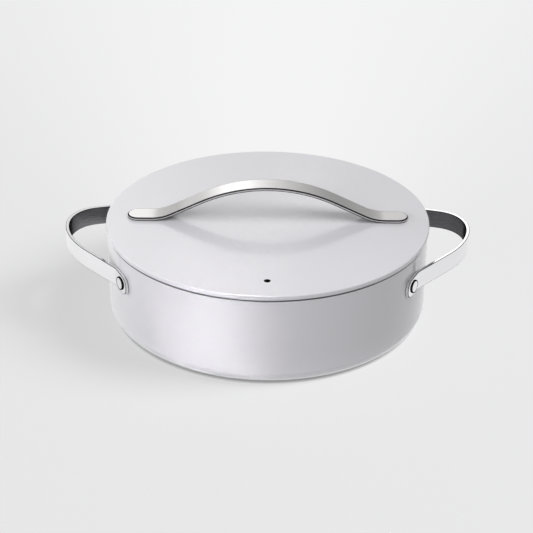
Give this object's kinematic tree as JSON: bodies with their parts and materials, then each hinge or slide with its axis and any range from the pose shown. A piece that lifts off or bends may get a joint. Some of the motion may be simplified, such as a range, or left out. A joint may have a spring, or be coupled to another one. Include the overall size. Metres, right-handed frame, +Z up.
{
  "type": "braiser",
  "caption": "Low round braiser with straight coated walls, riveted steel loop handles and a flat vented lid lifted by a wave-shaped steel strap.",
  "frame": {"origin": "centre of the resting face, on the underside of the base plate", "axes": "+Z up along the pot's axis, +X through the two loop handles and along the lid's strap handle, -Y towards the side with the steam vent"},
  "size_m": [0.361, 0.288, 0.1211],
  "materials": {
    "ceramic_coat": "satin",
    "polished_stainless": "polished",
    "brushed_stainless": "satin",
    "fastener_steel": "satin"
  },
  "bodies": {
    "pot": {"pot_body": "ceramic_coat", "base_plate": "brushed_stainless", "left_handle": "polished_stainless", "right_handle": "polished_stainless", "left_front_rivet": "polished_stainless", "left_rear_rivet": "polished_stainless", "right_front_rivet": "polished_stainless", "right_rear_rivet": "polished_stainless"},
    "lid": {"lid_disc": "ceramic_coat", "lid_handle": "brushed_stainless", "lid_left_stud": "fastener_steel", "lid_right_stud": "fastener_steel", "lid_left_washer": "fastener_steel", "lid_right_washer": "fastener_steel", "lid_left_cap_nut": "fastener_steel", "lid_right_cap_nut": "fastener_steel"}
  },
  "joints": [
    {"name": "lid_lift", "type": "slide", "parent": "pot", "child": "lid", "axis": [0, 0, 1], "range_m": [0, 0.12]}
  ]
}
